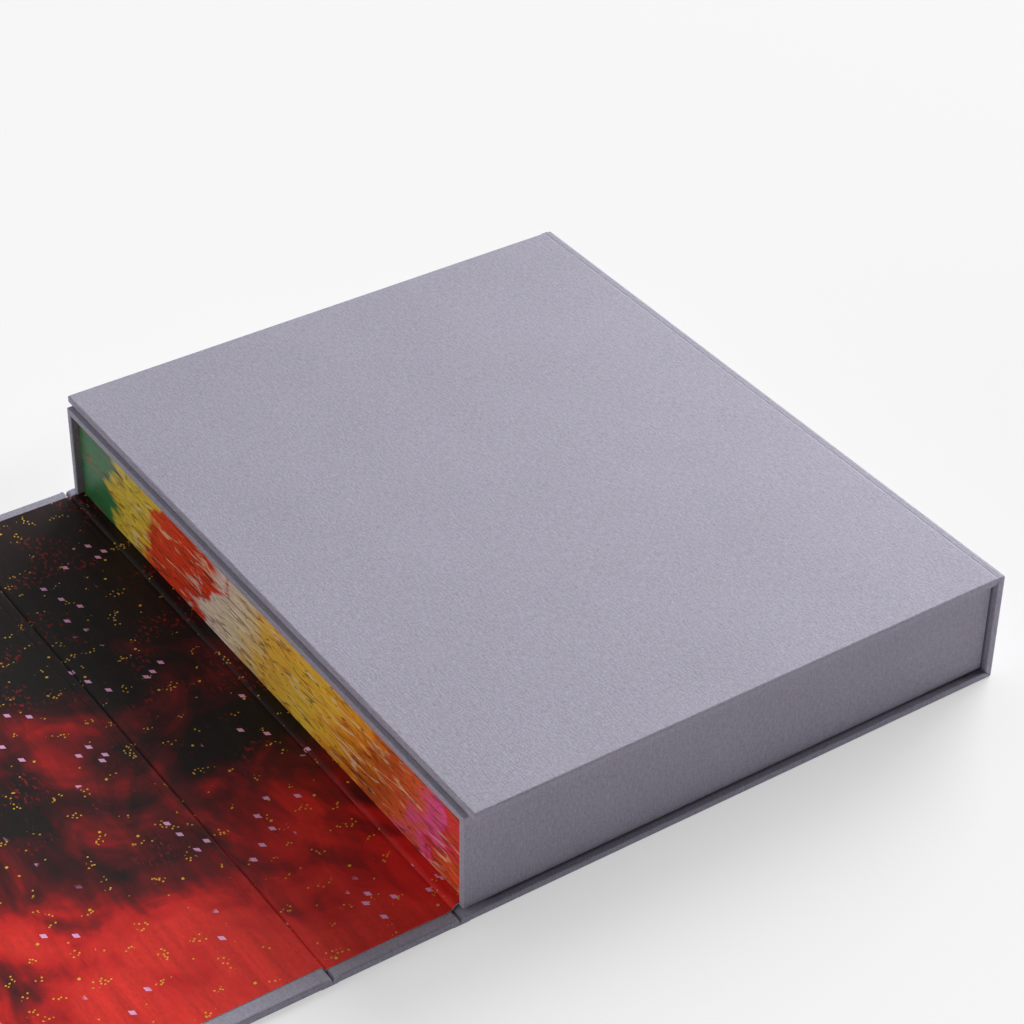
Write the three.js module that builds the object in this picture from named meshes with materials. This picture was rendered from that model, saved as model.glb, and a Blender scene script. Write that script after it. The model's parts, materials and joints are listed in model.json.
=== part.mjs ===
// A large hardcover book in a cloth-covered presentation case, with the case open.
// Millimetres. +X runs from the book's spine to its fore edge, +Y from tail to head, +Z up.
// The origin is the centre of the underside of the closed part of the case.

import * as THREE from "three";

// The book
const BOOK_WIDTH = 263.5;
const BOOK_LENGTH = 324.6;
const BOOK_THICKNESS = 43.6;
const BOOK_BOARD = 3.0;
const BOOK_JOINT_WIDTH = 7.0;
const BOOK_JOINT_DEPTH = 1.6;
const BOOK_JOINT_SHEET = 0.9;
const PAGE_SQUARE = 4.0;
const ENDPAPER = 0.3;
const SPINE_LINING = 0.4;
const SPINE_HOLLOW = 0.2;
const BAND_RADIUS = 1.2;
const BAND_INSET = 0.3;

// The slipcase round the book
const SLIP_WALL = 3.3;
const SLIP_FLOOR = 0.6;
const FLOOR_PAPER = 0.25;
const CLEAR_ABOVE_BOOK = 0.65;
const CLEAR_BESIDE_BOOK = 0.8;
const CLEAR_BEHIND_BOOK = 1.0;
const SPINE_RECESS = 2.8;

// The cloth-covered boards of the case
const CASE_BOARD = 3.7;
const OVERHANG = 3.6;
const TOP_SETBACK = 2.5;
const FORE_EDGE_GROOVE = 0.8;
const MITRE_GAP = 0.3;
const GROOVE_CLOTH = 0.6;
const GROOVE_DEPTH = 1.1;

// The two folds, with the spine wall and front cover lying open
const LINING = 0.25;
const LINING_BORDER = 5.5;
const FOLD_CLEARANCE = 0.6;
const FOLD_TO_BOARD = 1.2;
const FOLD_CLOTH_GAP = 0.3;
const FOLD_CLOTH = 0.65;
const FOLD_CLOTH_LIFT = 0.1;

// Rounding of board edges and corners
const EDGE_ROUND = 0.6;
const CORNER_ROUND = 1.2;
const ROUND_STEPS = 3;

// The slipcase's hollow and walls, from the book and its clearances
const boxDepth = SPINE_RECESS + BOOK_WIDTH + CLEAR_BEHIND_BOOK + SLIP_WALL + CASE_BOARD;
const openEdge = -boxDepth / 2;
const foreEdgeOutside = boxDepth / 2;
const foreEdgeInside = foreEdgeOutside - CASE_BOARD;
const hollowBack = foreEdgeInside - SLIP_WALL;
const bookSpine = openEdge + SPINE_RECESS;
const bookForeEdge = bookSpine + BOOK_WIDTH;

const bookHead = BOOK_LENGTH / 2;
const hollowHead = bookHead + CLEAR_BESIDE_BOOK;
const slipHead = hollowHead + SLIP_WALL;
const caseHead = slipHead + OVERHANG;

const floorBottom = CASE_BOARD;
const floorTop = floorBottom + SLIP_FLOOR;
const bookBottom = floorTop + FLOOR_PAPER;
const bookTop = bookBottom + BOOK_THICKNESS;
const roofBottom = bookTop + CLEAR_ABOVE_BOOK;
const roofTop = roofBottom + SLIP_WALL;
const boxTop = roofTop + CASE_BOARD;

// The fold lines lie on the outside of the cloth. Closed, the spine wall stands
// FOLD_CLEARANCE in front of the slipcase and the cover lies as far above the top board.
const flapThickness = CASE_BOARD + LINING;
const spineFold = openEdge - FOLD_CLEARANCE - flapThickness;
const coverFold = spineFold - boxTop - FOLD_CLEARANCE - flapThickness;
const spineWallRight = spineFold - FOLD_TO_BOARD;
const spineWallLeft = spineFold - boxTop;
const coverRight = coverFold - FOLD_TO_BOARD;
const coverLeft = coverFold - (foreEdgeOutside - spineFold);

function material(colour, roughness) {
  return new THREE.MeshStandardMaterial({ color: colour, roughness, metalness: 0 });
}

const bookCloth = () => material(0xa9a5b2, 0.9);
const liningPaper = () => material(0x8c1f24, 0.45);
const coverPaper = () => material(0xc9862f, 0.35);
const pagePaper = () => material(0xf1ede2, 0.85);
const endPaper = () => material(0x2b2a2e, 0.8);
const bandCloth = () => material(0xb8352f, 0.8);

function roundedRectangle(width, height, radius) {
  const w = width / 2;
  const h = height / 2;
  const r = Math.min(radius, w * 0.45, h * 0.45);
  const shape = new THREE.Shape();
  shape.moveTo(w, h - r);
  shape.absarc(w - r, h - r, r, 0, Math.PI / 2, false);
  shape.absarc(-w + r, h - r, r, Math.PI / 2, Math.PI, false);
  shape.absarc(-w + r, -h + r, r, Math.PI, Math.PI * 1.5, false);
  shape.absarc(w - r, -h + r, r, Math.PI * 1.5, Math.PI * 2, false);
  return shape;
}

// A flat sheet or board that fills the box from low to high. Its thinnest side is its
// thickness. With a round above 0, its edges are rounded by that much.
function board(name, low, high, surface, round = EDGE_ROUND) {
  const size = high.map((value, axis) => value - low[axis]);
  const thickness = Math.min(...size);
  const thin = size.indexOf(thickness);
  const width = thin === 0 ? size[2] : size[0];
  const height = thin === 1 ? size[2] : size[1];
  const edge = Math.min(round, thickness * 0.4);
  const outline = roundedRectangle(width, height, CORNER_ROUND);
  const geometry = new THREE.ExtrudeGeometry(outline, {
    depth: thickness - 2 * edge,
    bevelEnabled: edge > 0,
    bevelThickness: edge,
    bevelSize: edge,
    bevelOffset: -edge,
    bevelSegments: ROUND_STEPS,
    curveSegments: ROUND_STEPS,
  });
  geometry.translate(0, 0, edge - thickness / 2);
  const mesh = new THREE.Mesh(geometry, surface);
  mesh.name = name;
  mesh.position.set(...high.map((value, axis) => (value + low[axis]) / 2));
  if (thin === 0) mesh.rotation.y = Math.PI / 2;
  if (thin === 1) mesh.rotation.x = Math.PI / 2;
  return mesh;
}

// A board of case length with a drawn section in X and Z. The edges of its two ends are
// rounded like the others.
function sectionBoard(name, section) {
  const geometry = new THREE.ExtrudeGeometry(section, {
    depth: 2 * (caseHead - EDGE_ROUND),
    bevelEnabled: true,
    bevelThickness: EDGE_ROUND,
    bevelSize: EDGE_ROUND,
    bevelOffset: -EDGE_ROUND,
    bevelSegments: ROUND_STEPS,
    curveSegments: ROUND_STEPS,
  });
  geometry.translate(0, 0, EDGE_ROUND - caseHead);
  const mesh = new THREE.Mesh(geometry, bookCloth());
  mesh.name = name;
  mesh.rotation.x = Math.PI / 2;
  return mesh;
}

// The bottom board ends in a mitre against the fore-edge board.
function bottomBoard() {
  const r = CORNER_ROUND;
  const middle = CASE_BOARD / 2;
  const gap = MITRE_GAP / Math.SQRT2;
  const section = new THREE.Shape();
  section.moveTo(openEdge + r, 0);
  section.lineTo(foreEdgeOutside - gap, 0);
  section.lineTo(foreEdgeInside - gap, CASE_BOARD);
  section.lineTo(openEdge + r, CASE_BOARD);
  section.quadraticCurveTo(openEdge, CASE_BOARD, openEdge, middle);
  section.quadraticCurveTo(openEdge, 0, openEdge + r, 0);
  return sectionBoard("bottom_board", section);
}

// The fore-edge board starts in the same mitre and ends beside the top board.
function foreEdgeBoard() {
  const r = CORNER_ROUND;
  const gap = MITRE_GAP / Math.SQRT2;
  const section = new THREE.Shape();
  section.moveTo(foreEdgeOutside, gap);
  section.lineTo(foreEdgeOutside, boxTop - r);
  section.quadraticCurveTo(foreEdgeOutside, boxTop, foreEdgeOutside - r, boxTop);
  section.lineTo(foreEdgeInside + EDGE_ROUND, boxTop);
  section.lineTo(foreEdgeInside, boxTop - EDGE_ROUND);
  section.lineTo(foreEdgeInside, CASE_BOARD + gap);
  section.closePath();
  return sectionBoard("fore_edge_board", section);
}

// A square-edged block from low to high.
function block(name, low, high, surface) {
  const size = high.map((value, axis) => value - low[axis]);
  const mesh = new THREE.Mesh(new THREE.BoxGeometry(...size), surface);
  mesh.name = name;
  mesh.position.set(...high.map((value, axis) => (value + low[axis]) / 2));
  return mesh;
}

// The boards of the case that are glued round the slipcase.
function fixedCase() {
  const group = new THREE.Group();
  const innerEdge = foreEdgeInside - FORE_EDGE_GROOVE;
  group.add(
    bottomBoard(),
    foreEdgeBoard(),
    board(
      "top_board",
      [openEdge + TOP_SETBACK, -caseHead, roofTop],
      [innerEdge, caseHead, boxTop],
      bookCloth(),
    ),
    block(
      "fore_edge_groove_cloth",
      [innerEdge, -caseHead + CORNER_ROUND, boxTop - GROOVE_DEPTH - GROOVE_CLOTH],
      [foreEdgeInside, caseHead - CORNER_ROUND, boxTop - GROOVE_DEPTH],
      bookCloth(),
    ),
  );
  return group;
}

// Five walls round the book, open at the book's spine. The floor is only thin card, because
// the bottom board carries it.
function slipcase() {
  const group = new THREE.Group();
  group.add(
    board(
      "slipcase_tail_wall",
      [openEdge, -slipHead, floorBottom],
      [foreEdgeInside, -hollowHead, roofTop],
      bookCloth(),
    ),
    board(
      "slipcase_head_wall",
      [openEdge, hollowHead, floorBottom],
      [foreEdgeInside, slipHead, roofTop],
      bookCloth(),
    ),
    board(
      "slipcase_floor",
      [openEdge, -hollowHead, floorBottom],
      [hollowBack, hollowHead, floorTop],
      bookCloth(),
    ),
    board(
      "slipcase_roof",
      [openEdge, -hollowHead, roofBottom],
      [hollowBack, hollowHead, roofTop],
      bookCloth(),
    ),
    board(
      "slipcase_back_wall",
      [hollowBack, -hollowHead, floorBottom],
      [foreEdgeInside, hollowHead, roofTop],
      bookCloth(),
    ),
    block(
      "slipcase_floor_paper",
      [openEdge + EDGE_ROUND, -hollowHead, floorTop],
      [hollowBack, hollowHead, bookBottom],
      liningPaper(),
    ),
  );
  return group;
}

// The sheet of cover paper that dips into the groove between a book's spine and board.
function bookJoint(name, outerFace, side) {
  const left = bookSpine + BOOK_BOARD;
  const right = left + BOOK_JOINT_WIDTH;
  const middle = (left + right) / 2;
  const outer = (depth) => outerFace - side * depth;
  const groove = outer(2 * BOOK_JOINT_DEPTH);
  const shape = new THREE.Shape();
  shape.moveTo(left, outer(0));
  shape.quadraticCurveTo(middle, groove, right, outer(0));
  shape.lineTo(right, outer(BOOK_JOINT_SHEET));
  shape.quadraticCurveTo(middle, groove - side * BOOK_JOINT_SHEET, left, outer(BOOK_JOINT_SHEET));
  shape.closePath();
  const geometry = new THREE.ExtrudeGeometry(shape, {
    depth: BOOK_LENGTH,
    bevelEnabled: false,
    curveSegments: 8,
  });
  geometry.translate(0, 0, -BOOK_LENGTH / 2);
  const mesh = new THREE.Mesh(geometry, coverPaper());
  mesh.name = name;
  mesh.rotation.x = Math.PI / 2;
  return mesh;
}

// A half-round band glued to the end of the pages, beside the spine.
function endBand(name, pageEnd, side, low, high) {
  const shape = new THREE.Shape();
  const turn = side > 0 ? 0 : Math.PI;
  shape.absarc(0, 0, BAND_RADIUS, turn, turn + Math.PI, false);
  shape.closePath();
  const geometry = new THREE.ExtrudeGeometry(shape, {
    depth: high - low,
    bevelEnabled: false,
    curveSegments: 8,
  });
  const mesh = new THREE.Mesh(geometry, bandCloth());
  mesh.name = name;
  const pagesLeft = bookSpine + BOOK_BOARD + SPINE_HOLLOW + SPINE_LINING;
  mesh.position.set(pagesLeft + BAND_INSET + BAND_RADIUS, pageEnd, low);
  return mesh;
}

// The hardcover book, front board up, with a flat spine.
function book() {
  const group = new THREE.Group();
  const boardLeft = bookSpine + BOOK_BOARD + BOOK_JOINT_WIDTH;
  const liningLeft = bookSpine + BOOK_BOARD + SPINE_HOLLOW;
  const pagesLeft = liningLeft + SPINE_LINING;
  const pagesRight = bookForeEdge - PAGE_SQUARE;
  const pagesHead = bookHead - PAGE_SQUARE;
  const backInside = bookBottom + BOOK_BOARD;
  const frontInside = bookTop - BOOK_BOARD;
  const pagesLow = backInside + ENDPAPER;
  const pagesHigh = frontInside - ENDPAPER;
  group.add(
    board(
      "book_back_board",
      [boardLeft, -bookHead, bookBottom],
      [bookForeEdge, bookHead, backInside],
      coverPaper(),
    ),
    board(
      "book_front_board",
      [boardLeft, -bookHead, frontInside],
      [bookForeEdge, bookHead, bookTop],
      coverPaper(),
    ),
    board(
      "book_spine",
      [bookSpine, -bookHead, bookBottom],
      [bookSpine + BOOK_BOARD, bookHead, bookTop],
      coverPaper(),
    ),
    bookJoint("book_back_joint", bookBottom, -1),
    bookJoint("book_front_joint", bookTop, 1),
    block(
      "book_back_endpaper",
      [pagesLeft, -pagesHead, backInside],
      [pagesRight, pagesHead, pagesLow],
      endPaper(),
    ),
    block(
      "book_front_endpaper",
      [pagesLeft, -pagesHead, pagesHigh],
      [pagesRight, pagesHead, frontInside],
      endPaper(),
    ),
    block(
      "text_block",
      [pagesLeft, -pagesHead, pagesLow],
      [pagesRight, pagesHead, pagesHigh],
      pagePaper(),
    ),
    block(
      "spine_lining",
      [liningLeft, -pagesHead, pagesLow],
      [pagesLeft, pagesHead, pagesHigh],
      pagePaper(),
    ),
    endBand("head_band", pagesHead, 1, pagesLow, pagesHigh),
    endBand("tail_band", -pagesHead, -1, pagesLow, pagesHigh),
  );
  return group;
}

// Cloth that joins two boards across a fold line. It reaches a little past the fold.
function foldCloth(name, fold, boardEdge) {
  const reach = FOLD_TO_BOARD - FOLD_CLOTH_GAP;
  return block(
    name,
    [fold - reach, -caseHead + CORNER_ROUND, FOLD_CLOTH_LIFT],
    [boardEdge, caseHead - CORNER_ROUND, FOLD_CLOTH_LIFT + FOLD_CLOTH],
    bookCloth(),
  );
}

// The spine wall lies flat to the left of the bottom board, lining up.
function spineWall() {
  const group = new THREE.Group();
  const liningHead = caseHead - LINING_BORDER;
  group.add(
    board(
      "spine_wall_board",
      [spineWallLeft, -caseHead, 0],
      [spineWallRight, caseHead, CASE_BOARD],
      bookCloth(),
    ),
    block(
      "spine_wall_lining",
      [spineWallLeft + EDGE_ROUND, -liningHead, CASE_BOARD],
      [spineWallRight - EDGE_ROUND, liningHead, flapThickness],
      liningPaper(),
    ),
    foldCloth("cover_fold_cloth", coverFold, spineWallLeft),
  );
  return group;
}

// The front cover lies flat to the left of the spine wall, lining up.
function frontCover() {
  const group = new THREE.Group();
  const liningHead = caseHead - LINING_BORDER;
  group.add(
    board(
      "front_cover_board",
      [coverLeft, -caseHead, 0],
      [coverRight, caseHead, CASE_BOARD],
      bookCloth(),
    ),
    block(
      "front_cover_lining",
      [coverLeft + LINING_BORDER, -liningHead, CASE_BOARD],
      [coverRight - EDGE_ROUND, liningHead, flapThickness],
      liningPaper(),
    ),
  );
  return group;
}

const presentationBook = new THREE.Group();
presentationBook.add(
  fixedCase(),
  slipcase(),
  book(),
  foldCloth("spine_fold_cloth", spineFold, openEdge),
  spineWall(),
  frontCover(),
);

export default presentationBook;
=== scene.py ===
import json
import math

import bmesh
import bpy
from mathutils import Matrix, Vector, noise


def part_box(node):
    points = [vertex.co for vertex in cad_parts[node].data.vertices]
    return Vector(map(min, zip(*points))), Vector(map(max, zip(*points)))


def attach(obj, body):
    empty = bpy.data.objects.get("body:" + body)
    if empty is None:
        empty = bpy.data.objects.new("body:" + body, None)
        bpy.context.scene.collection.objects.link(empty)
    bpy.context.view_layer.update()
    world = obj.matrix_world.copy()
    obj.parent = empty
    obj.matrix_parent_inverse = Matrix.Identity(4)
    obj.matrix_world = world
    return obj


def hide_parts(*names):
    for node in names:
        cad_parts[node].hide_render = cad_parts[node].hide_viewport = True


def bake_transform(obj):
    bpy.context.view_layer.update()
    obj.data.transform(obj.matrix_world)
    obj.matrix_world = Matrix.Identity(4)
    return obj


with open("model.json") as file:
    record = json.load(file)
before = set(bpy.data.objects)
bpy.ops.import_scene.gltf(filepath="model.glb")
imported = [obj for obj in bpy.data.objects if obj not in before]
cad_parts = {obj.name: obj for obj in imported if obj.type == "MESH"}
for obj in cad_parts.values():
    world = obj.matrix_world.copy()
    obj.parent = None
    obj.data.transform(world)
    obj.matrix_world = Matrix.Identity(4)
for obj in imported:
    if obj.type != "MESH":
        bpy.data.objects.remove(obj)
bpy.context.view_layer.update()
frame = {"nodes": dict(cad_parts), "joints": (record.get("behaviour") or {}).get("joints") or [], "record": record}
nodes = frame["nodes"]

MM = 0.001

# The camera stands as in the photograph.
CAMERA_PLACE = Vector((-576.14, -829.94, 788.26)) * MM
CAMERA_YAW = math.radians(34.6928)
CAMERA_PITCH = math.radians(36.54)
CAMERA_ROLL = math.radians(0.8895)
CAMERA_LENS = 98.9
CAMERA_SENSOR = 36.0


def make_camera():
    """The camera looks along its yaw and pitch, and is then turned by its roll."""
    flat = math.cos(CAMERA_PITCH)
    forward = Vector((math.sin(CAMERA_YAW) * flat, math.cos(CAMERA_YAW) * flat, -math.sin(CAMERA_PITCH)))
    right = Vector((math.cos(CAMERA_YAW), -math.sin(CAMERA_YAW), 0.0))
    up = right.cross(forward)
    turned_right = math.cos(CAMERA_ROLL) * right + math.sin(CAMERA_ROLL) * up
    turned_up = math.cos(CAMERA_ROLL) * up - math.sin(CAMERA_ROLL) * right
    data = bpy.data.cameras.new("camera")
    data.lens = CAMERA_LENS
    data.sensor_width = CAMERA_SENSOR
    data.clip_end = 50.0
    camera = bpy.data.objects.new("camera", data)
    turn = Matrix((turned_right, turned_up, -forward)).transposed().to_4x4()
    camera.matrix_world = Matrix.Translation(CAMERA_PLACE) @ turn
    bpy.context.scene.collection.objects.link(camera)
    bpy.context.scene.camera = camera


make_camera()


# Shader graphs

def rgb(red, green, blue):
    """A colour given as it looks on a screen, 0 to 255, as the linear colour that a shader takes."""
    def linear(value):
        share = value / 255
        return share / 12.92 if share <= 0.04045 else ((share + 0.055) / 1.055) ** 2.4
    return (linear(red), linear(green), linear(blue), 1.0)


def put(tree, socket, value):
    """Links the socket to another one, or gives it a value."""
    if isinstance(value, bpy.types.NodeSocket):
        tree.links.new(value, socket)
    else:
        socket.default_value = value


def add_node(tree, kind, inputs=None, **settings):
    """A shader node with its settings and inputs."""
    made = tree.nodes.new(kind)
    for key, value in settings.items():
        setattr(made, key, value)
    for key, value in (inputs or {}).items():
        put(tree, made.inputs[key], value)
    return made


class Graph:
    """One material and the nodes added to it."""

    def __init__(self, name, roughness, specular=0.5, sheen=0.0):
        self.material = bpy.data.materials.new(name)
        self.material.use_nodes = True
        self.tree = self.material.node_tree
        self.shader = self.tree.nodes["Principled BSDF"]
        self.shader.inputs["Roughness"].default_value = roughness
        self.shader.inputs["Specular IOR Level"].default_value = specular
        self.shader.inputs["Sheen Weight"].default_value = sheen
        self.uv = self.add("ShaderNodeUVMap", uv_map="plan").outputs["UV"]

    def add(self, kind, inputs=None, **settings):
        return add_node(self.tree, kind, inputs, **settings)

    def math(self, operation, a, b=0.0):
        return self.add("ShaderNodeMath", {0: a, 1: b}, operation=operation).outputs[0]

    def sum(self, start, *terms):
        """start plus each value times its weight, for terms of (value, weight)."""
        total = start
        for value, weight in terms:
            part = self.math("MULTIPLY", value, weight)
            total = self.math("ADD", total, part)
        return total

    def scaled(self, across, along):
        """The plan coordinates in units of the two lengths given."""
        made = self.add("ShaderNodeVectorMath", {0: self.uv}, operation="MULTIPLY")
        made.inputs[1].default_value = (1 / across, 1 / along, 1.0)
        return made.outputs[0]

    def noise(self, across, along, detail=2.0, distortion=0.0):
        """Smooth noise around 0.5, with features of about that size."""
        settings = {
            "Vector": self.scaled(across, along),
            "Scale": 1.0,
            "Detail": detail,
            "Distortion": distortion,
        }
        made = self.add("ShaderNodeTexNoise", settings, noise_dimensions="2D")
        return made.outputs["Fac"]

    def step(self, value, low, high):
        """0 below low, 1 above high and smooth between them."""
        settings = {"Value": value, "From Min": low, "From Max": high}
        made = self.add("ShaderNodeMapRange", settings, interpolation_type="SMOOTHSTEP")
        return made.outputs["Result"]

    def mix(self, share, a, b, blend="MIX"):
        made = self.add("ShaderNodeMix", {0: share, 6: a, 7: b}, data_type="RGBA", blend_type=blend)
        return made.outputs[2]

    def shade(self, colour, brightness):
        """The colour times a grey value."""
        grey = self.add("ShaderNodeCombineColor", {0: brightness, 1: brightness, 2: brightness})
        return self.mix(1.0, colour, grey.outputs[0], "MULTIPLY")

    def ramp(self, value, stops):
        made = self.add("ShaderNodeValToRGB", {"Fac": value})
        elements = made.color_ramp.elements
        while len(elements) < len(stops):
            elements.new(1.0)
        for element, (place, colour) in zip(elements, stops):
            element.position = place
            element.color = colour
        return made.outputs["Color"]

    def attribute(self, name):
        return self.add("ShaderNodeAttribute", attribute_name=name).outputs["Fac"]

    def bump(self, height, depth, strength=1.0):
        made = self.add("ShaderNodeBump", {"Height": height, "Distance": depth, "Strength": strength})
        self.tree.links.new(made.outputs["Normal"], self.shader.inputs["Normal"])

    def colour(self, value):
        put(self.tree, self.shader.inputs["Base Color"], value)
        return self.material


THREAD = 0.42 * MM
WARMER = (1.02, 0.99, 0.98)
COOLER = (0.98, 1.01, 1.02)

# The outer faces of the slipcase's tail and head walls stand this far from the middle. The cloth of the ledges
# beside them is darkened with painted shade, and darker still with a painted shadow line along the foot of the
# wall.
JOINT_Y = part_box("slipcase_head_wall")[1].y
LEDGE_PAINTED_SHADE = 0.3
LINE_PAINTED_SHADE = 0.35
LINE_FAR = 1.6 * MM
LINE_NEAR = 0.2 * MM


def weave_height(graph, thread):
    """A plain weave: where the two sets of threads cross, one and then the other is on top."""
    parts = graph.add("ShaderNodeSeparateXYZ", {0: graph.scaled(thread, thread)})
    across = graph.math("SINE", graph.math("MULTIPLY", parts.outputs[0], math.pi))
    along = graph.math("SINE", graph.math("MULTIPLY", parts.outputs[1], math.pi))
    over = graph.math("GREATER_THAN", graph.math("MULTIPLY", across, along), 0.0)
    first = graph.math("MULTIPLY", graph.math("ABSOLUTE", across), over)
    under = graph.math("SUBTRACT", 1.0, over)
    second = graph.math("MULTIPLY", graph.math("ABSOLUTE", along), under)
    return graph.math("ADD", first, second)


def book_cloth(name, tint, worn_and_lit):
    """Woven book cloth with uneven threads, faint cooler and warmer patches, and paler round edges that are partly
    rubbed wear and partly a painted highlight. Painted shade darkens it on the ledges beside the slipcase walls.
    """
    g = Graph(name, roughness=0.88, specular=0.2, sheen=0.1)
    weave = weave_height(g, THREAD)
    warp = g.noise(0.7 * MM, 3.4 * MM, detail=2.0)
    weft = g.noise(2.8 * MM, 0.7 * MM, detail=2.0)
    slub = g.noise(1.2 * MM, 17 * MM, detail=2.0)
    grain = g.noise(0.95 * MM, 0.95 * MM, detail=3.0)
    patch = g.noise(45 * MM, 60 * MM, detail=3.0)
    brightness = g.sum(
        0.295, (weave, 0.08), (warp, 0.42), (weft, 0.26), (slub, 0.12), (grain, 0.44), (patch, 0.09)
    )
    hue = g.step(g.noise(1.8 * MM, 2.4 * MM, detail=3.0), 0.3, 0.7)
    warm = tuple(c * f for c, f in zip(tint, WARMER)) + (1.0,)
    cool = tuple(c * f for c, f in zip(tint, COOLER)) + (1.0,)
    dyed = g.mix(hue, cool, warm)
    dyed = g.shade(dyed, brightness)
    # Partly rubbed wear, partly a painted highlight: the round edges, and the corners most, are mixed towards the
    # paler cloth.
    rubbed_and_lit = g.math("MULTIPLY", g.attribute("edge"), g.step(grain, 0.35, 0.75))
    dyed = g.mix(g.math("MULTIPLY", rubbed_and_lit, 0.4), dyed, worn_and_lit)
    parts = g.add("ShaderNodeSeparateXYZ", {0: g.uv})
    # Painted shade: the cloth is darkened on the ledges beside the slipcase walls and on the fore-edge board's
    # inner side, most of all in a thin painted shadow line along the foot of the wall.
    away = g.math("ABSOLUTE", g.math("SUBTRACT", g.math("ABSOLUTE", parts.outputs[1]), JOINT_Y))
    line = g.step(away, LINE_FAR, LINE_NEAR)
    painted_shade = g.math("MULTIPLY", g.attribute("joint"), g.sum(LEDGE_PAINTED_SHADE, (line, LINE_PAINTED_SHADE)))
    g.colour(g.shade(dyed, g.sum(1.0, (painted_shade, -1.0))))
    g.bump(g.sum(0.0, (weave, 0.5), (warp, 0.9), (grain, 0.9)), 0.09 * MM, 0.8)
    return g.material


# A print changes from tail to head. The slant is how much of that change one metre along X adds, and
# the shift moves the whole print.
LINING_SLANT = 0.55
LINING_SHIFT = 0.68
COVER_SLANT = 1.4
COVER_SHIFT = 0.157


def lining_paper(name, half):
    """Satin paper printed with dark red clouds, gold specks and pink lozenges."""
    g = Graph(name, roughness=0.45, specular=0.1)
    parts = g.add("ShaderNodeSeparateXYZ", {0: g.uv})
    along = g.math("DIVIDE", parts.outputs[1], 2 * half)
    cloud = g.noise(90 * MM, 75 * MM, detail=7.0, distortion=0.9)
    brush = g.noise(4.5 * MM, 60 * MM, detail=5.0)
    wisp = g.noise(20 * MM, 34 * MM, detail=7.0, distortion=0.6)
    grit = g.noise(1.2 * MM, 2.6 * MM, detail=3.0)
    side = g.math("MULTIPLY", parts.outputs[0], LINING_SLANT)
    height = g.sum(0.5, (along, 1.0), (side, 1.0), (cloud, 0.95), (brush, 0.2), (wisp, 0.5), (grit, 0.08))
    height = g.math("SUBTRACT", height, LINING_SHIFT)
    printed = g.ramp(height, [
        (0.10, rgb(236, 58, 50)),
        (0.24, rgb(214, 44, 42)),
        (0.33, rgb(160, 36, 38)),
        (0.42, rgb(110, 34, 37)),
        (0.52, rgb(72, 30, 33)),
        (0.62, rgb(38, 32, 32)),
        (0.90, rgb(38, 34, 33)),
        (1.00, rgb(46, 32, 32)),
    ])
    ember = g.step(g.noise(1.7 * MM, 3.0 * MM, detail=5.0), 0.55, 0.68)
    where = g.step(g.noise(30 * MM, 22 * MM, detail=3.0), 0.52, 0.66)
    where = g.math("MULTIPLY", where, g.step(height, 0.42, 0.56))
    printed = g.mix(g.math("MULTIPLY", ember, where), printed, rgb(150, 38, 40))
    printed = g.shade(printed, g.sum(0.52, (brush, 0.66), (grit, 0.3)))

    def specks(size, cell, share, cluster, metric, stretch):
        """Small marks, one in a cell, in some of the cells of some clusters."""
        vector = g.add("ShaderNodeVectorRotate", {"Vector": g.scaled(cell, cell), "Angle": 0.6 * stretch})
        shaped = g.add("ShaderNodeVectorMath", {0: vector.outputs[0]}, operation="MULTIPLY")
        shaped.inputs[1].default_value = (1.0, stretch, 1.0)
        cells = g.add(
            "ShaderNodeTexVoronoi",
            {"Vector": shaped.outputs[0], "Scale": 1.0},
            voronoi_dimensions="2D",
            distance=metric,
        )
        chance = g.add("ShaderNodeSeparateColor", {0: cells.outputs["Color"]}).outputs[0]
        near = g.math("LESS_THAN", cells.outputs["Distance"], size / cell)
        picked = g.math("LESS_THAN", chance, share)
        return g.math("MULTIPLY", g.math("MULTIPLY", near, picked), cluster)

    gold_place = g.step(g.noise(9 * MM, 6 * MM, detail=0.0), 0.745, 0.75)
    gold = specks(0.42 * MM, 1.9 * MM, 0.75, gold_place, "EUCLIDEAN", 1.0)
    printed = g.mix(gold, printed, rgb(240, 190, 60))
    leaf = specks(0.65 * MM, 17 * MM, 0.3, 1.0, "EUCLIDEAN", 1.0)
    printed = g.mix(leaf, printed, rgb(244, 196, 70))
    pink_place = g.step(g.noise(52 * MM, 44 * MM, detail=1.0), 0.53, 0.56)
    pink = specks(2.1 * MM, 10.5 * MM, 0.3, pink_place, "MANHATTAN", 1.7)
    g.colour(g.mix(pink, printed, rgb(250, 186, 232)))
    g.bump(g.noise(0.5 * MM, 0.5 * MM, detail=2.0), 0.01 * MM, 0.3)
    return g.material


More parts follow.
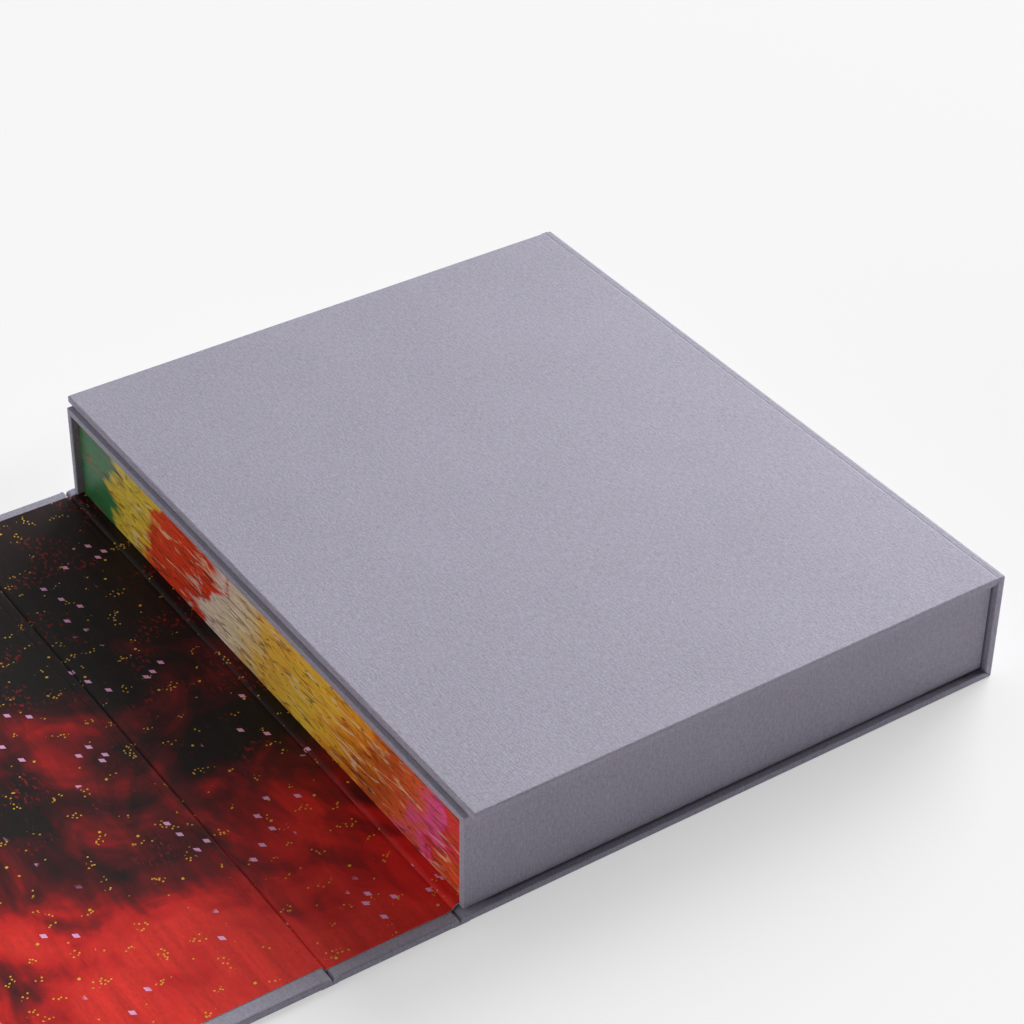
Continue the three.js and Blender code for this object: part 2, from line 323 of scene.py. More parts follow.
def cover_print(name, half):
    """Coated paper printed with combed bands of colour along the length of the book."""
    g = Graph(name, roughness=0.4, specular=0.15)
    parts = g.add("ShaderNodeSeparateXYZ", {0: g.uv})
    along = g.math("DIVIDE", parts.outputs[1], 2 * half)
    swirl = g.noise(17 * MM, 24 * MM, detail=3.0, distortion=1.0)
    comb = g.noise(2.0 * MM, 24 * MM, detail=4.0, distortion=0.5)
    slant = g.math("MULTIPLY", parts.outputs[0], COVER_SLANT)
    place = g.sum(0.5, (along, 1.0), (swirl, 0.16), (comb, 0.08), (slant, 1.0))
    place = g.math("SUBTRACT", place, COVER_SHIFT)
    printed = g.ramp(place, [
        (0.00, rgb(232, 92, 50)),
        (0.05, rgb(226, 64, 70)),
        (0.08, rgb(240, 96, 160)),
        (0.12, rgb(232, 104, 60)),
        (0.19, rgb(196, 92, 36)),
        (0.25, rgb(238, 148, 44)),
        (0.34, rgb(255, 206, 72)),
        (0.47, rgb(252, 196, 78)),
        (0.54, rgb(244, 226, 188)),
        (0.61, rgb(240, 214, 200)),
        (0.64, rgb(236, 66, 38)),
        (0.77, rgb(238, 78, 42)),
        (0.80, rgb(242, 204, 74)),
        (0.89, rgb(226, 196, 70)),
        (0.91, rgb(50, 122, 70)),
        (1.00, rgb(40, 108, 64)),
    ])
    pale = g.step(g.noise(4.4 * MM, 24 * MM, detail=3.0, distortion=1.1), 0.60, 0.67)
    pale = g.math("MULTIPLY", pale, g.step(place, 0.88, 0.84))
    printed = g.mix(g.math("MULTIPLY", pale, 0.5), printed, rgb(255, 236, 190))
    deep = g.step(g.noise(3.0 * MM, 17 * MM, detail=4.0, distortion=1.0), 0.42, 0.36)
    printed = g.mix(g.math("MULTIPLY", deep, 0.5), printed, rgb(150, 56, 28))
    stroke = g.noise(0.7 * MM, 9 * MM, detail=4.0, distortion=0.7)
    printed = g.shade(printed, g.sum(0.48, (stroke, 0.68), (comb, 0.54)))
    wave = g.noise(3.6 * MM, 42 * MM, detail=1.0, distortion=0.4)
    vein = g.math("ABSOLUTE", g.math("SUBTRACT", g.math("FRACT", g.math("MULTIPLY", wave, 5.0)), 0.5))
    dark = g.math("MULTIPLY", g.step(vein, 0.10, 0.03), 0.62)
    g.colour(g.mix(dark, printed, rgb(66, 36, 24)))
    g.bump(g.noise(0.4 * MM, 0.4 * MM, detail=2.0), 0.01 * MM, 0.3)
    return g.material


def plain_paper(name, colour, page=0.0):
    """Uncoated paper. With a page thickness, its leaves show as fine lines across the Z axis."""
    g = Graph(name, roughness=0.85, specular=0.3)
    fibre = g.noise(0.5 * MM, 0.8 * MM, detail=4.0)
    fleck = g.noise(12 * MM, 9 * MM, detail=2.0)
    brightness = g.sum(0.90, (fibre, 0.14), (fleck, 0.06))
    height = fibre
    if page:
        leaves = g.noise(page, 60 * MM, detail=2.0)
        brightness = g.sum(brightness, (leaves, 0.24))
        brightness = g.math("SUBTRACT", brightness, 0.12)
        height = g.sum(fibre, (leaves, 3.0))
    g.colour(g.shade(colour, brightness))
    g.bump(height, 0.04 * MM, 0.5)
    return g.material


def ribbed_band(name):
    """The sewn end bands, red with a paler rib."""
    g = Graph(name, roughness=0.8, specular=0.3, sheen=0.1)
    parts = g.add("ShaderNodeSeparateXYZ", {0: g.scaled(0.9 * MM, 0.9 * MM)})
    rib = g.math("SINE", g.math("MULTIPLY", parts.outputs[0], 2 * math.pi))
    share = g.step(rib, -0.4, 0.4)
    g.colour(g.mix(share, rgb(150, 34, 30), rgb(214, 120, 96)))
    g.bump(rib, 0.1 * MM, 0.8)
    return g.material


def half_length(cad):
    """Half the length of a CAD node along Y."""
    low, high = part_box(cad)
    return (high.y - low.y) / 2


# The second colour is the paler cloth of the round edges, partly rubbed wear and partly a painted highlight.
CLOTH = book_cloth("book_cloth", rgb(172, 168, 184)[:3], rgb(205, 201, 214))
LINING_PRINT = lining_paper("lining_paper", half_length("front_cover_lining"))
COVER_PRINT = cover_print("cover_print", half_length("book_spine"))
PAPER_CORE = plain_paper("paper_core", rgb(248, 247, 244))
PAGES = plain_paper("pages", rgb(238, 233, 220), page=0.3 * MM)
ENDPAPER = plain_paper("endpaper", rgb(48, 46, 50))
BAND = ribbed_band("band_cloth")


# Mesh building

GRID = 4.5 * MM
EDGE_INSIDE = 0.25 * MM
CLOTH_ROUND = 0.85 * MM
SHEET_ROUND = 0.04 * MM
# The edge attribute grows with these gains. The cloth uses it for its paler edges and corners, partly wear and
# partly a painted highlight.
EDGE_GAIN = 3.4
CORNER_GAIN = 2

# The unevenness of the cloth: waves in one metre, and their shares of the height.
WIDE_WAVES = 21.0
WIDE_SHARE = 0.6
FINE_WAVES = 110.0
FINE_SHARE = 0.4

# A side of an outline is a cut mitre face when it is longer than this, and when the two parts of its
# direction differ by less than the tolerance.
MITRE_SHORTEST = 3 * MM
MITRE_TOLERANCE = 0.1
MITRE_GAP = 0.2 * MM
# Two sides of an outline count as one straight line below this sine of their angle.
STRAIGHT = 0.05


def unwrap(mesh):
    """Plan coordinates in metres, seen along the main direction of each face."""
    layer = mesh.uv_layers.new(name="plan")
    for polygon in mesh.polygons:
        normal = [abs(part) for part in polygon.normal]
        main = normal.index(max(normal))
        first, second = ((2, 1), (0, 2), (0, 1))[main]
        for corner in polygon.loop_indices:
            point = mesh.vertices[mesh.loops[corner].vertex_index].co
            layer.data[corner].uv = (point[first], point[second])


def mark_edges(mesh):
    """The attribute edge is 0 on flat faces, near 1 on a round edge and higher at a corner."""
    attribute = mesh.attributes.new("edge", "FLOAT", "POINT")
    for vertex in mesh.vertices:
        share = (1 - max(abs(part) for part in vertex.normal)) * EDGE_GAIN
        attribute.data[vertex.index].value = share + CORNER_GAIN * max(0.0, share - 1.0)


def ripple(mesh, amount):
    """Moves the surface in and out a little, as cloth glued on board does."""
    moves = []
    for vertex in mesh.vertices:
        wide = noise.noise(vertex.co * WIDE_WAVES)
        fine = noise.noise(vertex.co * FINE_WAVES)
        moves.append(vertex.normal * (amount * (WIDE_SHARE * wide + FINE_SHARE * fine)))
    for vertex, move in zip(mesh.vertices, moves):
        vertex.co += move


def piece(name, vertices, faces, materials, cloth_ripple=0.0):
    """A closed mesh object with outward normals, plan coordinates and its materials."""
    mesh = bpy.data.meshes.new(name)
    mesh.from_pydata([tuple(v) for v in vertices], [], faces)
    work = bmesh.new()
    work.from_mesh(mesh)
    bmesh.ops.recalc_face_normals(work, faces=work.faces)
    work.to_mesh(mesh)
    work.free()
    for polygon in mesh.polygons:
        polygon.use_smooth = True
    unwrap(mesh)
    mark_edges(mesh)
    if cloth_ripple:
        ripple(mesh, cloth_ripple)
    for material in materials:
        mesh.materials.append(material)
    made = bpy.data.objects.new(name, mesh)
    bpy.context.scene.collection.objects.link(made)
    return made


def lines(low, high, radius, grid):
    """Lattice places along one axis: close together in the round edges, then a grid step apart."""
    turns = [radius * (1 - math.tan(math.radians(angle))) for angle in (45, 30, 15)]
    inner_low = low + radius
    inner_high = high - radius
    flat = inner_high - inner_low
    rest = flat - 2 * EDGE_INSIDE
    places = [low + t for t in turns] + [inner_low]
    if rest > EDGE_INSIDE:
        count = max(1, round(rest / grid))
        places += [inner_low + EDGE_INSIDE + rest * i / count for i in range(count + 1)]
    places += [inner_high] + [high - t for t in reversed(turns)]
    return places


def slab(name, low, high, radius, materials, grid=GRID, cloth_ripple=0.0):
    """A board from low to high with all its edges rounded by the radius."""
    low = Vector(low)
    high = Vector(high)
    axes = [lines(low[a], high[a], radius, grid) for a in range(3)]
    counts = [len(axis) for axis in axes]
    inner_low = low + Vector((radius,) * 3)
    inner_high = high - Vector((radius,) * 3)
    index = {}
    vertices = []

    def corner(key):
        if key not in index:
            point = Vector([axes[a][key[a]] for a in range(3)])
            core = Vector([min(max(point[a], inner_low[a]), inner_high[a]) for a in range(3)])
            out = point - core
            index[key] = len(vertices)
            vertices.append(core + out.normalized() * radius)
        return index[key]

    faces = []
    for axis in range(3):
        first, second = [a for a in range(3) if a != axis]
        for side in (0, counts[axis] - 1):
            for i in range(counts[first] - 1):
                for j in range(counts[second] - 1):
                    face = []
                    for step_i, step_j in ((0, 0), (1, 0), (1, 1), (0, 1)):
                        key = [0, 0, 0]
                        key[axis] = side
                        key[first] = i + step_i
                        key[second] = j + step_j
                        face.append(corner(tuple(key)))
                    faces.append(face)
    return piece(name, vertices, faces, materials, cloth_ripple)


def divided(points, grid):
    """The closed outline with its long stretches cut into steps."""
    made = []
    for start, end in zip(points, points[1:] + points[:1]):
        length = math.dist(start, end)
        count = max(1, round(length / grid))
        for i in range(count):
            share = i / count
            made.append((start[0] + (end[0] - start[0]) * share, start[1] + (end[1] - start[1]) * share))
    return made


def arc(x, z, radius, start, end, count=4):
    """Points of an arc in X and Z round a centre, between two angles in degrees."""
    angles = [math.radians(start + (end - start) * i / count) for i in range(count + 1)]
    return [(x + radius * math.cos(a), z + radius * math.sin(a)) for a in angles]


def outward(outline, plain, cut):
    """For each point of a counter-clockwise outline, the move outwards that shifts its two sides.

    A cut mitre face shifts by cut and every other side by plain.
    """
    count = len(outline)
    sides = []
    for start, end in zip(outline, outline[1:] + outline[:1]):
        length = math.dist(start, end)
        x = (end[1] - start[1]) / length
        z = (start[0] - end[0]) / length
        mitre = length > MITRE_SHORTEST and abs(abs(x) - abs(z)) < MITRE_TOLERANCE
        sides.append((x, z, cut if mitre else plain))
    made = []
    for i in range(count):
        x1, z1, share1 = sides[i - 1]
        x2, z2, share2 = sides[i]
        area = x1 * z2 - z1 * x2
        if abs(area) < STRAIGHT:
            share = (share1 + share2) / 2
            made.append(((x1 + x2) / 2 * share, (z1 + z2) / 2 * share))
        else:
            made.append(((share1 * z2 - share2 * z1) / area, (share2 * x1 - share1 * x2) / area))
    return made


def prism(name, outline, low_y, high_y, radius, materials, grid=GRID, cloth_ripple=0.0):
    """A solid with that outline in X and Z along Y. The edges of its two ends are rounded.

    In the round edges a cut mitre face stands back by MITRE_GAP, which leaves a thin open seam.
    """
    plain = outward(outline, 1.0, 0.0)
    mitre = outward(outline, 0.0, 1.0)
    inside = EDGE_INSIDE * min(1.0, radius / CLOTH_ROUND)
    ends = [(0.0, radius + inside, MITRE_GAP)]
    for angle in (0, 30, 60, 90):
        turn = math.radians(angle)
        gap = MITRE_GAP if angle < 90 else 0.0
        ends.append((radius * (1 - math.cos(turn)), radius * (1 - math.sin(turn)), gap))
    ends.append((radius + inside, 0.0, 0.0))
    inner_low = low_y + ends[-1][0]
    inner_high = high_y - ends[-1][0]
    count = max(1, round((inner_high - inner_low) / grid))
    rings = [(low_y + along, inset, gap) for along, inset, gap in ends]
    rings += [(inner_low + (inner_high - inner_low) * i / count, 0.0, 0.0) for i in range(1, count)]
    rings += [(high_y - along, inset, gap) for along, inset, gap in reversed(ends)]
    vertices = []
    for y, inset, gap in rings:
        for (x, z), (dx, dz), (mx, mz) in zip(outline, plain, mitre):
            vertices.append((x - dx * inset - mx * gap, y, z - dz * inset - mz * gap))
    size = len(outline)
    faces = [list(range(size)), list(range((len(rings) - 1) * size, len(rings) * size))]
    for ring in range(len(rings) - 1):
        for i in range(size):
            after = (i + 1) % size
            start = ring * size
            faces.append([start + i, start + after, start + size + after, start + size + i])
    return piece(name, vertices, faces, materials, cloth_ripple)


def strip(name, top, thickness, low_y, high_y, materials, grid=GRID):
    """A thin sheet along Y whose top side follows the points given, from low X to high X."""
    under = []
    for i, (x, z) in enumerate(top):
        before = top[max(i - 1, 0)]
        after = top[min(i + 1, len(top) - 1)]
        dx = after[0] - before[0]
        dz = after[1] - before[1]
        length = math.hypot(dx, dz)
        under.append((x + dz / length * thickness, z - dx / length * thickness))
    outline = list(under) + list(reversed(top))
    return prism(name, outline, low_y, high_y, SHEET_ROUND, materials, grid)


def show_core(made, cut_x=None):
    """Gives the underside of a printed sheet and its edges that are cut the white of its paper."""
    for polygon in made.data.polygons:
        end = abs(polygon.normal.y) > 0.5
        side = cut_x is not None and polygon.center.x < cut_x + PAPER and polygon.normal.z < 0.5
        if end or side or polygon.normal.z < -0.5:
            polygon.material_index = 1


def smooth_line(points, count=5):
    """More points on a smooth curve through the points given."""
    made = []
    for i in range(len(points) - 1):
        p0 = Vector(points[max(i - 1, 0)])
        p1 = Vector(points[i])
        p2 = Vector(points[i + 1])
        p3 = Vector(points[min(i + 2, len(points) - 1)])
        for k in range(count):
            t = k / count
            tangent = (p2 - p0) * t + (2 * p0 - 5 * p1 + 4 * p2 - p3) * t * t
            curve = p1 * 2 + tangent + (3 * p1 - p0 - 3 * p2 + p3) * t ** 3
            made.append(tuple(curve / 2))
    made.append(tuple(points[-1]))
    return made


# The fixed case

WALL_ROUND = 0.6 * MM
RIPPLE = 0.07 * MM
CORNER_ARC = 1.2 * MM

bottom_low, bottom_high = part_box("bottom_board")
fore_low, fore_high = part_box("fore_edge_board")
top_low, top_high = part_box("top_board")
board_thickness = bottom_high.z

# The painted shade of the ledges starts this far from the board's edge at the spine fold, and then grows over the
# length of the fade.
LEDGE_START = 3 * MM
LEDGE_FADE = 12 * MM
MITRE_OVERHANG = 0.02 * MM
GROOVE_THICKNESS = 2.6 * MM
GROOVE_INSET = 0.12 * MM


def mark_painted_shade(made, side):
    """Marks the faces that look that way with a joint attribute of 1, fading to 0 towards the spine fold; the
    cloth gets painted shade there.
    """
    attribute = made.data.attributes.new("joint", "FLOAT", "POINT")
    for vertex in made.data.vertices:
        faces = vertex.normal.dot(Vector(side)) > 0.7
        inward = (vertex.co.x - bottom_low.x - LEDGE_START) / LEDGE_FADE
        attribute.data[vertex.index].value = min(1.0, max(0.0, inward)) if faces else 0.0


def bottom_panel():
    """The bottom board, with a mitre at the fore edge."""
    r = CORNER_ARC
    t = board_thickness
    tip = fore_high.x + MITRE_OVERHANG
    outline = arc(bottom_low.x + r, r, r, 180, 270)
    outline += [(tip, 0.0), (tip - t, t)]
    outline += arc(bottom_low.x + r, t - r, r, 90, 180)
    return prism("case_bottom_panel", divided(outline, GRID), bottom_low.y, bottom_high.y, CLOTH_ROUND,
                 [CLOTH], cloth_ripple=RIPPLE)


def fore_edge_panel():
    """The fore-edge board, with the other half of that mitre at its foot."""
    r = CORNER_ARC
    outside = fore_high.x
    inside = fore_low.x
    top = fore_high.z
    outline = [(outside, 0.0)]
    outline += arc(outside - r, top - r, r, 0, 90)
    outline += arc(inside + r, top - r, r, 90, 180)
    outline += [(inside, outside - inside)]
    return prism("case_fore_edge_panel", divided(outline, GRID), fore_low.y, fore_high.y, CLOTH_ROUND,
                 [CLOTH], cloth_ripple=RIPPLE)


def groove_cloth():
    """The cloth dips a little between the top board and the fore-edge board."""
    top = top_high.z
    middle = (top_high.x + fore_low.x) / 2
    points = smooth_line([
        (top_high.x - 1.8 * MM, top - 0.6 * MM),
        (top_high.x - 1.2 * MM, top - 0.1 * MM),
        (top_high.x - 0.7 * MM, top - 0.01 * MM),
        (middle - 0.5 * MM, top - 0.02 * MM),
        (middle, top - 0.14 * MM),
        (middle + 0.5 * MM, top - 0.02 * MM),
        (fore_low.x + 1.0 * MM, top - 0.01 * MM),
        (fore_low.x + 1.5 * MM, top - 0.1 * MM),
        (fore_low.x + 2.1 * MM, top - 0.6 * MM),
    ], 3)
    return strip("top_groove_cloth", points, GROOVE_THICKNESS, top_low.y + GROOVE_INSET,
                 top_high.y - GROOVE_INSET, [CLOTH])


def on_box(made, *replaced, slot="book_cloth"):
    """The piece belongs to the fixed body and takes the place of the CAD nodes named."""
    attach(made, "box")
    if replaced:
        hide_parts(*replaced)
    return made


bottom = on_box(bottom_panel(), "bottom_board")
mark_painted_shade(bottom, (0, 0, 1))
fore_edge = on_box(fore_edge_panel(), "fore_edge_board")
mark_painted_shade(fore_edge, (-1, 0, 0))
on_box(slab("case_top_panel", top_low, top_high, CLOTH_ROUND, [CLOTH], cloth_ripple=RIPPLE), "top_board")
on_box(groove_cloth(), "fore_edge_groove_cloth")


# The slipcase

tail_low, tail_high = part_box("slipcase_tail_wall")
head_low, head_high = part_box("slipcase_head_wall")
roof_low, roof_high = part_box("slipcase_roof")
# The cloth runs round the open edge without a joint, so the roof reaches over both walls.
ROOF_INSET = 0.04 * MM
ROOF_LIFT = 0.02 * MM
roof_low.y = tail_low.y + ROOF_INSET
roof_high.y = head_high.y - ROOF_INSET
roof_low.x += ROOF_INSET
roof_high.z += ROOF_LIFT

for part, cad, low, high in (
    ("slipcase_tail_panel", "slipcase_tail_wall", tail_low, tail_high),
    ("slipcase_head_panel", "slipcase_head_wall", head_low, head_high),
    ("slipcase_roof_panel", "slipcase_roof", roof_low, roof_high),
):
    on_box(slab(part, low, high, WALL_ROUND, [CLOTH]), cad)


# The folds and the lining paper

PAPER = 0.25 * MM
FOLD_PAPER = 0.5 * MM
SPINE_FOLD = frame["joints"][0]["pos_m"][0]

wall_low, wall_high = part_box("spine_wall_board")
cover_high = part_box("front_cover_board")[1]
paper_low, paper_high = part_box("spine_wall_lining")
cover_paper_low, cover_paper_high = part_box("front_cover_lining")
floor_low, floor_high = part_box("slipcase_floor_paper")
lining_top = paper_high.z
floor_level = floor_high.z
slip_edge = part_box("slipcase_tail_wall")[0].x

# The cloth and filling of the folds.
FOLD_BASE = 0.06 * MM
FOLD_GRID = 0.8 * MM
FOLD_ROUND = 0.15 * MM
FOLD_INSET = 0.1 * MM
GROOVE_FLOOR = FOLD_BASE + 0.95 * MM

# The lining over the folds. It narrows between the slipcase walls and towards the front cover.
SPINE_CREASE = 0.85 * MM
COVER_CREASE = 1.5 * MM
ROLL_RISE = 0.16 * MM
ROLL_END = 1.6 * MM
OVERLAP = 0.012 * MM
LINING_INSET = 0.02 * MM
WALL_CLEARANCE = 0.15 * MM
NARROWED_BEFORE = 0.4 * MM
COVER_NARROWING = 0.6 * MM
COVER_PAPER_INSET = 1.8 * MM

# The flat parts of the lining.
LINING_START = 0.9 * MM
LINING_END = 0.4 * MM
LINING_GRID = 12 * MM
LINING_ROUND = 0.03 * MM
FLOOR_LINING_GRID = 20 * MM
FLOOR_LINING_ROUND = 0.05 * MM
FLOOR_LINING_INSET = 0.1 * MM


def spine_fold_lining():
    """The lining dips in a crease beside the spine wall, then rolls over on to the slipcase floor."""
    crease = SPINE_FOLD + SPINE_CREASE
    points = [
        (wall_high.x - 0.7 * MM, lining_top + OVERLAP),
        (wall_high.x + 0.1 * MM, lining_top),
        (crease - 0.8 * MM, lining_top - 0.06 * MM),
        (crease - 0.2 * MM, lining_top - 0.34 * MM),
        (crease + 0.1 * MM, lining_top - 0.46 * MM),
        (crease + 0.4 * MM, lining_top - 0.28 * MM),
        (crease + 1.1 * MM, floor_level - 0.18 * MM),
        (slip_edge - 1.4 * MM, floor_level + ROLL_RISE),
        (slip_edge - 0.2 * MM, floor_level + ROLL_RISE * 0.9),
        (slip_edge + 1.0 * MM, floor_level + 0.02 * MM),
        (slip_edge + ROLL_END, floor_level),
    ]
    made = strip("spine_fold_lining", smooth_line(points), FOLD_PAPER, paper_low.y + LINING_INSET,
                 paper_high.y - LINING_INSET, [LINING_PRINT, PAPER_CORE])
    narrow = 1 - (floor_high.y - WALL_CLEARANCE) / paper_high.y
    for vertex in made.data.vertices:
        share = (vertex.co.x - wall_high.x) / (slip_edge - NARROWED_BEFORE - wall_high.x)
        vertex.co.y *= 1 - narrow * min(1.0, max(0.0, share))
    show_core(made)
    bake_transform(made)


def floor_lining():
    """The flat part of the lining on the slipcase floor."""
    low = (slip_edge + ROLL_END, floor_low.y + FLOOR_LINING_INSET, floor_low.z)
    high = (floor_high.x, floor_high.y - FLOOR_LINING_INSET, floor_level)
    made = slab("slipcase_floor_lining", low, high, FLOOR_LINING_ROUND, [LINING_PRINT, PAPER_CORE],
                grid=FLOOR_LINING_GRID)
    show_core(made)
    on_box(made, "slipcase_floor_paper", slot="lining_paper")


def fold_cloth(name, replaced, profile):
    """Cloth and its filling across a fold, with a V-shaped groove in the top."""
    outline = [(profile[0][0], FOLD_BASE), (profile[-1][0], FOLD_BASE)] + list(reversed(profile))
    made = prism(name, divided(outline, FOLD_GRID), bottom_low.y + FOLD_INSET, bottom_high.y - FOLD_INSET,
                 FOLD_ROUND, [CLOTH])
    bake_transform(made)
    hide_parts(replaced)


def folds():
    """The grooves of the two folds, and the lining that runs over the fold of the front cover."""
    t = board_thickness
    edge = wall_high.x
    spine_groove = smooth_line([
        (edge - 1.0 * MM, t - 0.6 * MM),
        (edge - 0.2 * MM, t - 0.03 * MM),
        (edge + 1.0 * MM, t - 0.08 * MM),
        (edge + 1.5 * MM, t - 0.5 * MM),
        (edge + 2.0 * MM, t - 1.6 * MM),
        (edge + 2.5 * MM, GROOVE_FLOOR),
        (edge + 2.8 * MM, t - 1.5 * MM),
        (edge + 3.3 * MM, t - 0.7 * MM),
        (bottom_low.x - 1.0 * MM, t - 0.45 * MM),
        (bottom_low.x + 0.9 * MM, t - 0.2 * MM),
    ], 3)
    fold_cloth("spine_fold_groove", "spine_fold_cloth", spine_groove)
    crease = wall_low.x - COVER_CREASE
    cover_groove = smooth_line([
        (cover_high.x - 1.0 * MM, t - 0.5 * MM),
        (cover_high.x - 0.2 * MM, t - 0.02 * MM),
        (crease - 1.3 * MM, t - 0.02 * MM),
        (crease - 0.75 * MM, t - 0.25 * MM),
        (crease - 0.35 * MM, t - 1.4 * MM),
        (crease, GROOVE_FLOOR),
        (crease + 0.4 * MM, t - 1.4 * MM),
        (crease + 0.85 * MM, t - 0.3 * MM),
        (wall_low.x + 0.1 * MM, t - 0.05 * MM),
        (wall_low.x + 0.9 * MM, t - 0.02 * MM),
    ], 3)
    fold_cloth("cover_fold_groove", "cover_fold_cloth",
               cover_groove)
    points = [
        (cover_high.x - 0.7 * MM, lining_top + OVERLAP),
        (crease - 1.8 * MM, lining_top),
        (crease - 0.8 * MM, lining_top - 0.08 * MM),
        (crease - 0.3 * MM, lining_top - 0.45 * MM),
        (crease, lining_top - 0.7 * MM),
        (crease + 0.3 * MM, lining_top - 0.45 * MM),
        (crease + 0.8 * MM, lining_top - 0.03 * MM),
        (wall_low.x + 0.5 * MM, lining_top),
        (wall_low.x + 1.2 * MM, lining_top + OVERLAP),
    ]
    made = strip("cover_fold_lining", smooth_line(points), FOLD_PAPER, paper_low.y + LINING_INSET,
                 paper_high.y - LINING_INSET, [LINING_PRINT, PAPER_CORE])
    for vertex in made.data.vertices:
        share = min(1.0, max(0.0, (crease - vertex.co.x) / COVER_NARROWING))
        vertex.co.y -= COVER_PAPER_INSET * share * vertex.co.y / paper_high.y
    show_core(made)
    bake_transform(made)


def flap_lining(name, low_x, high_x, low_y, high_y, body, replaced, cut_x=None):
    """The flat part of the lining on one of the two boards that fold."""
    low = (low_x, low_y, lining_top - PAPER)
    high = (high_x, high_y, lining_top)
    made = slab(name, low, high, LINING_ROUND, [LINING_PRINT, PAPER_CORE], grid=LINING_GRID)
    show_core(made, cut_x)
    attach(made, body)
    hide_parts(replaced)


spine_fold_lining()
floor_lining()
folds()

for part, cad, body in (
    ("spine_wall_panel", "spine_wall_board", "spine_wall"),
    ("front_cover_panel", "front_cover_board", "front_cover"),
):
    low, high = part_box(cad)
    made = slab(part, low, high, CLOTH_ROUND, [CLOTH], cloth_ripple=RIPPLE)
    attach(made, body)
    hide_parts(cad)

flap_lining("spine_wall_paper", wall_low.x + LINING_START, wall_high.x - LINING_END, paper_low.y,
            paper_high.y, "spine_wall", "spine_wall_lining")
flap_lining("front_cover_paper", cover_paper_low.x, cover_high.x - LINING_END,
            cover_paper_low.y + COVER_PAPER_INSET, cover_paper_high.y - COVER_PAPER_INSET,
            "front_cover", "front_cover_lining", cut_x=cover_paper_low.x)


# The book

SPINE_ROUND = 0.7 * MM
SPINE_RIPPLE = 0.05 * MM

spine_low, spine_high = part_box("book_spine")
spine = slab("book_spine_cover", spine_low, spine_high, SPINE_ROUND, [COVER_PRINT],
             cloth_ripple=SPINE_RIPPLE)
on_box(spine, "book_spine", slot="cover_print")

SLOT_MATERIALS = {
    "book_cloth": CLOTH,
    "lining_paper": LINING_PRINT,
    "cover_print": COVER_PRINT,
    "endpaper": ENDPAPER,
    "pages": PAGES,
    "band_cloth": BAND,
}


def dress_cad_nodes():
    """CAD nodes that stay get the material of their slot and plan coordinates for it."""
    for row in frame["record"]["subparts"]:
        node = nodes[row["node"]]
        if node.hide_render:
            continue
        unwrap(node.data)
        mark_edges(node.data)
        node.data.materials.clear()
        node.data.materials.append(SLOT_MATERIALS[row["material_slot"]])


dress_cad_nodes()


# Floor and light

# The floor as the camera sees it: its colour, its glow and how much the fill lamp's light is evened out.
FLOOR_REACH = 8.0
FLOOR_SHADED = 0.66
FLOOR_GLOW = 0.467
FLOOR_FADE = 0.155
# What the floor sends back to the object: its colour, a little low in green, and its glow.
FLOOR_BOUNCE = 0.97
FLOOR_BOUNCE_GREEN = FLOOR_BOUNCE * 0.97
FLOOR_LIFT = 0.22
# The strength of the sky towards -Y and +Y, what low light from -X adds, and what the camera sees.
SKY_FRONT = 0.03
SKY_BACK = 0.56
SKY_LEFT = 1.6
SKY_SEEN = 0.92
# The key is a soft sun, and the fill a small lamp on the fore-edge side.
KEY_STRENGTH = 3.2
KEY_SPREAD = 34.0
KEY_FROM = (0.785, 0.453, 0.42)
FILL_SIZE = 0.3
FILL_POWER = 2.5
FILL_PLACE = (0.62, -0.14, 0.42)
FILL_TARGET = (0.1, -0.05, 0.05)
WHITE = (1.0, 1.0, 1.0, 1.0)


def even_floor(tree, colour):
    """The floor's colour, made darker where the fill lamp lights it, so that the floor looks even."""

    def number(operation, first, second):
        return add_node(tree, "ShaderNodeMath", {0: first, 1: second}, operation=operation).outputs[0]

    def vector(operation, inputs):
        return add_node(tree, "ShaderNodeVectorMath", inputs, operation=operation).outputs

    place = add_node(tree, "ShaderNodeNewGeometry").outputs["Position"]
    ray = vector("SUBTRACT", {0: place, 1: FILL_PLACE})[0]
    aimed = (Vector(FILL_TARGET) - Vector(FILL_PLACE)).normalized()
    ahead = number("MAXIMUM", vector("DOT_PRODUCT", {0: ray, 1: aimed})["Value"], 0.0)
    reach = number("POWER", vector("LENGTH", {0: ray})["Value"], 4.0)
    light = number("MULTIPLY", number("DIVIDE", ahead, reach), FLOOR_FADE)
    share = number("DIVIDE", 1.0, number("ADD", light, 1.0))
    return vector("SCALE", {0: colour, "Scale": share})[0]


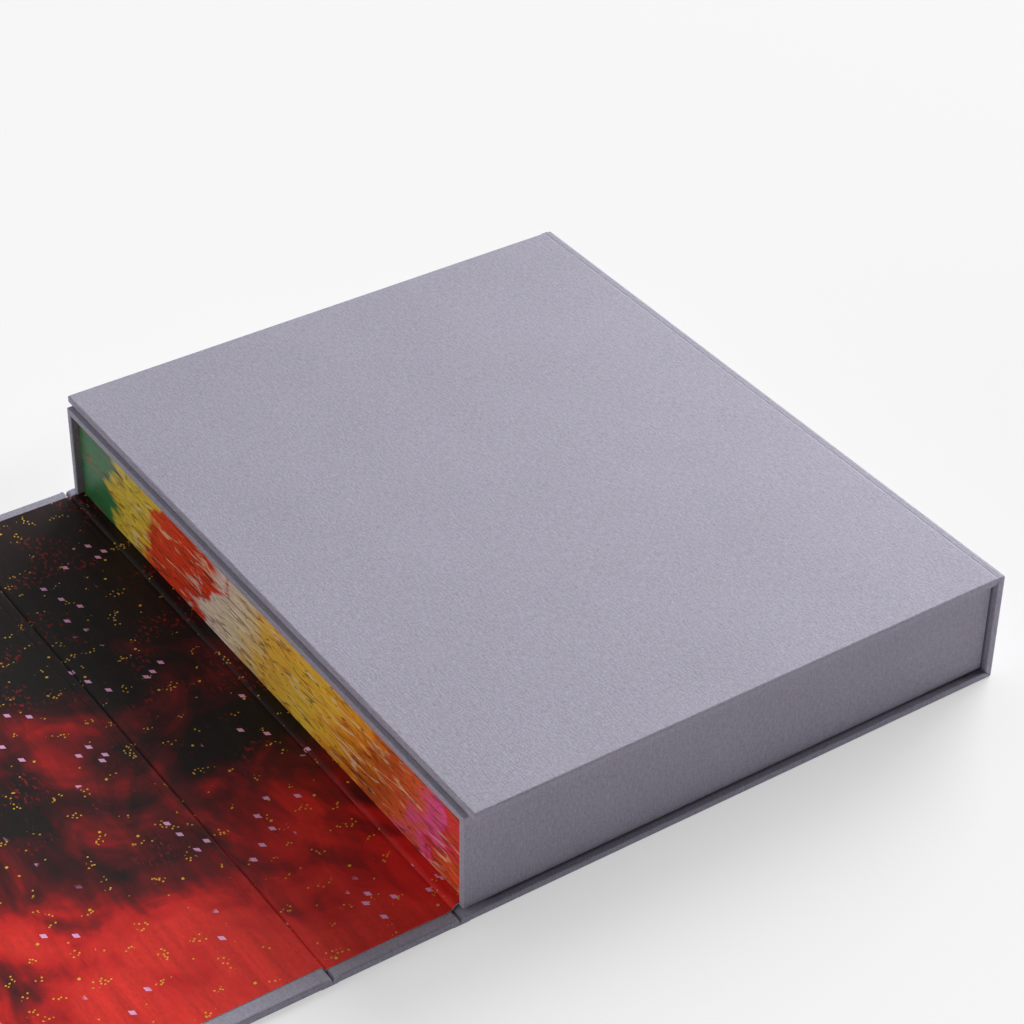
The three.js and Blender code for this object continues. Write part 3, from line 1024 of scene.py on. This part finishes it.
def make_floor():
    size = FLOOR_REACH
    mesh = bpy.data.meshes.new("floor")
    corners = [(-size, -size, 0), (size, -size, 0), (size, size, 0), (-size, size, 0)]
    mesh.from_pydata(corners, [], [(0, 1, 2, 3)])
    floor = bpy.data.objects.new("floor", mesh)
    bpy.context.scene.collection.objects.link(floor)
    material = bpy.data.materials.new("floor")
    material.use_nodes = True
    tree = material.node_tree
    shader = tree.nodes["Principled BSDF"]
    shader.inputs["Roughness"].default_value = 0.9
    shader.inputs["Specular IOR Level"].default_value = 0.1
    shader.inputs["Emission Color"].default_value = WHITE
    path = add_node(tree, "ShaderNodeLightPath").outputs
    rays = {0: path["Is Camera Ray"], 1: path["Is Glossy Ray"]}
    seen = add_node(tree, "ShaderNodeMath", rays, operation="MAXIMUM").outputs[0]
    bounce = (FLOOR_BOUNCE, FLOOR_BOUNCE_GREEN, FLOOR_BOUNCE, 1.0)
    shaded = (FLOOR_SHADED, FLOOR_SHADED, FLOOR_SHADED, 1.0)
    mix = add_node(tree, "ShaderNodeMix", {0: seen, 6: bounce, 7: shaded}, data_type="RGBA")
    put(tree, shader.inputs["Base Color"], even_floor(tree, mix.outputs[2]))
    glow = add_node(tree, "ShaderNodeMapRange", {"Value": seen, "To Min": FLOOR_LIFT, "To Max": FLOOR_GLOW})
    put(tree, shader.inputs["Emission Strength"], glow.outputs["Result"])
    mesh.materials.append(material)


def make_world():
    """A pale sky, brighter towards +Y and low at -X. The camera sees it in one even tone."""
    world = bpy.data.worlds.new("world")
    bpy.context.scene.world = world
    world.use_nodes = True
    tree = world.node_tree
    back = tree.nodes["Background"]
    back.inputs["Color"].default_value = WHITE

    def smooth(value, start, end, first, last):
        settings = {"Value": value, "From Min": start, "From Max": end, "To Min": first, "To Max": last}
        made = add_node(tree, "ShaderNodeMapRange", settings, interpolation_type="SMOOTHSTEP")
        return made.outputs["Result"]

    direction = add_node(tree, "ShaderNodeTexCoord").outputs["Generated"]
    x, y, z = add_node(tree, "ShaderNodeSeparateXYZ", {0: direction}).outputs
    light = smooth(y, -0.3, 0.7, SKY_FRONT, SKY_BACK)
    left = smooth(x, -0.2, -0.9, 0.0, SKY_LEFT)
    low = smooth(z, 0.0, 0.4, 1.0, 0.0)
    both = add_node(tree, "ShaderNodeMath", {0: left, 1: low, 2: light}, operation="MULTIPLY_ADD")
    camera_ray = add_node(tree, "ShaderNodeLightPath").outputs["Is Camera Ray"]
    strength = add_node(tree, "ShaderNodeMix", {0: camera_ray, 2: both.outputs[0], 3: SKY_SEEN})
    put(tree, back.inputs["Strength"], strength.outputs[0])


def aim(light, place, target):
    light.location = Vector(place)
    light.rotation_mode = "QUATERNION"
    light.rotation_quaternion = (Vector(target) - Vector(place)).to_track_quat("-Z", "Y")


def make_lights():
    sun = bpy.data.lights.new("key", "SUN")
    sun.energy = KEY_STRENGTH
    sun.angle = math.radians(KEY_SPREAD)
    key = bpy.data.objects.new("key", sun)
    bpy.context.scene.collection.objects.link(key)
    aim(key, KEY_FROM, (0, 0, 0))
    area = bpy.data.lights.new("fill", "AREA")
    area.shape = "DISK"
    area.size = FILL_SIZE
    area.energy = FILL_POWER
    fill = bpy.data.objects.new("fill", area)
    bpy.context.scene.collection.objects.link(fill)
    aim(fill, FILL_PLACE, FILL_TARGET)


make_floor()
make_world()
make_lights()
bpy.context.scene.view_settings.view_transform = "Standard"
